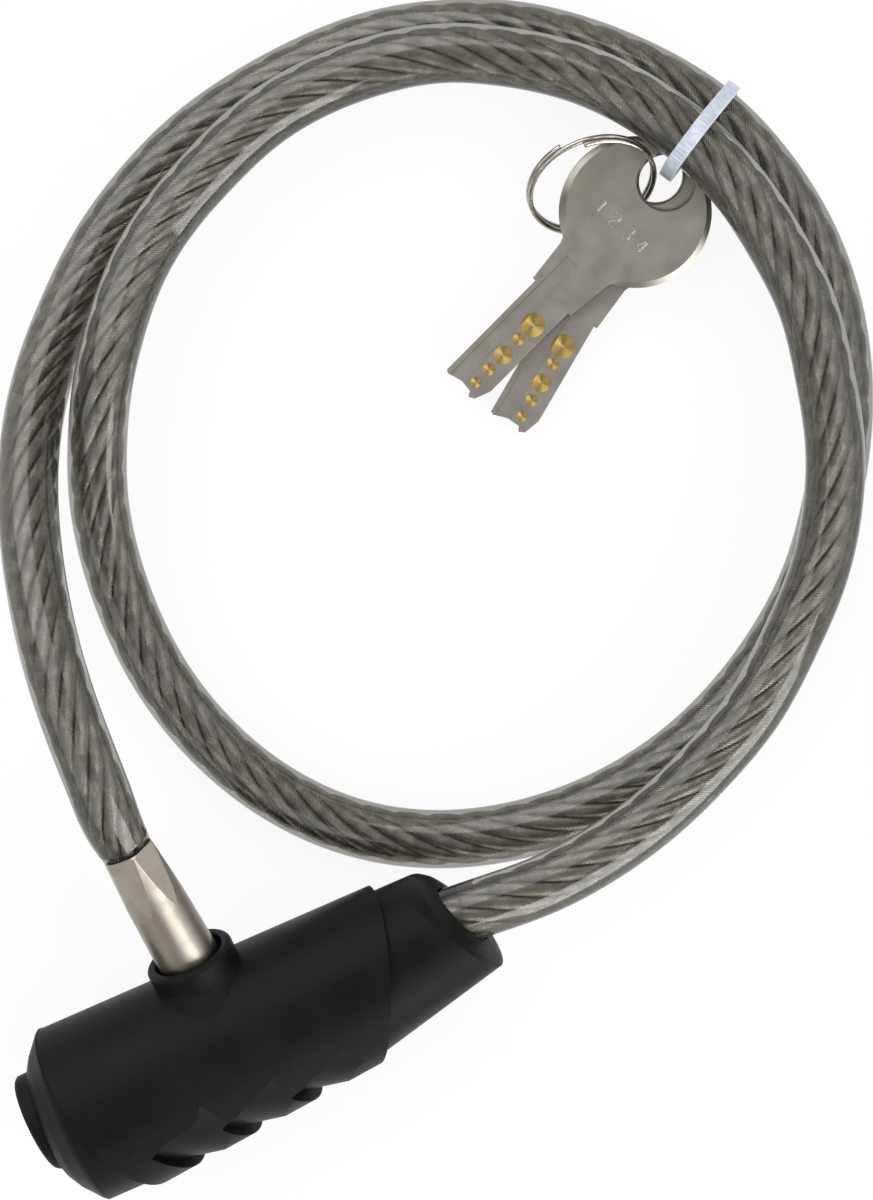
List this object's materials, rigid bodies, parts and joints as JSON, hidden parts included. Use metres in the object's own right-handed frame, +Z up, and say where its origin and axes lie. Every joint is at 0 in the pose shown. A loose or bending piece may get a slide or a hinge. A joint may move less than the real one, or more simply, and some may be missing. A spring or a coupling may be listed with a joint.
{
  "type": "keyed cable lock",
  "caption": "Keyed cable lock: moulded head with a side socket, a locking pin on a coiled clear-jacketed cable, and flat keys on a split ring.",
  "frame": {"origin": "centre of the lock head's bounding box, on the floor it rests on", "axes": "+X along the lock head from the key face to the cable outlet, +Z up, +Y towards the socket side and the cable's loop"},
  "size_m": [0.1841, 0.1679, 0.0419],
  "materials": {
    "cover": "fine satin texture, black",
    "bezel": "matt black",
    "zinc": "as-cast zinc, dull grey",
    "brass": "machined brass",
    "steel": "plain steel, machined",
    "nickel": "satin nickel plate",
    "key_nickel": "nickel plated, lightly tumbled",
    "jacket": "clear smoke-tinted PVC",
    "rope": "bright drawn wire in strands",
    "tie": "natural nylon, finely ribbed"
  },
  "bodies": {
    "head": {"outer_sleeve": "cover", "nose_cap": "cover", "rear_collar": "cover", "key_bezel": "bezel", "lock_housing": "zinc", "cylinder_shell": "brass", "driver_pins": "steel", "driver_springs": "steel", "cylinder_retaining_pin": "steel", "cable_anchor": "steel", "anchor_pins": "steel", "cable_jacket": "jacket", "steel_rope": "rope", "cable_tie": "tie"},
    "plug": {"cylinder_plug": "brass", "plug_clip": "steel", "key_pins": "brass", "cam_disc": "steel", "cam_cross_pin": "steel"},
    "latch": {"latch_plate": "steel"},
    "pin": {"locking_pin": "nickel"},
    "ring": {"key_ring": "key_nickel"},
    "key_a": {"key_a": "key_nickel"},
    "key_b": {"key_b": "key_nickel"}
  },
  "joints": [
    {"name": "plug_turn", "type": "hinge", "parent": "head", "child": "plug", "pos_m": [0, -0.00057, 0.01708], "axis": [1, 0, 0], "range_deg": [0, 90]},
    {"name": "latch_slide", "type": "slide", "parent": "head", "child": "latch", "axis": [0, -0.3746, 0.9272], "range_m": [0, 0.00226]},
    {"name": "pin_pull", "type": "slide", "parent": "head", "child": "pin", "axis": [-0.0523, 0.9259, 0.3741], "range_m": [0, 0.02], "deforming": ["cable_jacket", "steel_rope"]},
    {"name": "ring_turn", "type": "hinge", "parent": "head", "child": "ring", "pos_m": [0.10745, 0.10645, 0.00955], "axis": [-0.0866, -0.7971, 0.5976], "range_deg": [-30, 30]},
    {"name": "key_a_swing", "type": "hinge", "parent": "head", "child": "key_a", "pos_m": [0.1193, 0.1019, 0.0087], "axis": [-0.0775, -0.04, 0.9962], "range_deg": [-12, 12]},
    {"name": "key_b_swing", "type": "hinge", "parent": "head", "child": "key_b", "pos_m": [0.11835, 0.1039, 0.0062], "axis": [-0.0775, -0.04, 0.9962], "range_deg": [-6, 12]}
  ],
  "couplings": [
    {"joint": "latch_slide", "follows": "plug_turn", "m_per_rad": 0.0014405}
  ]
}
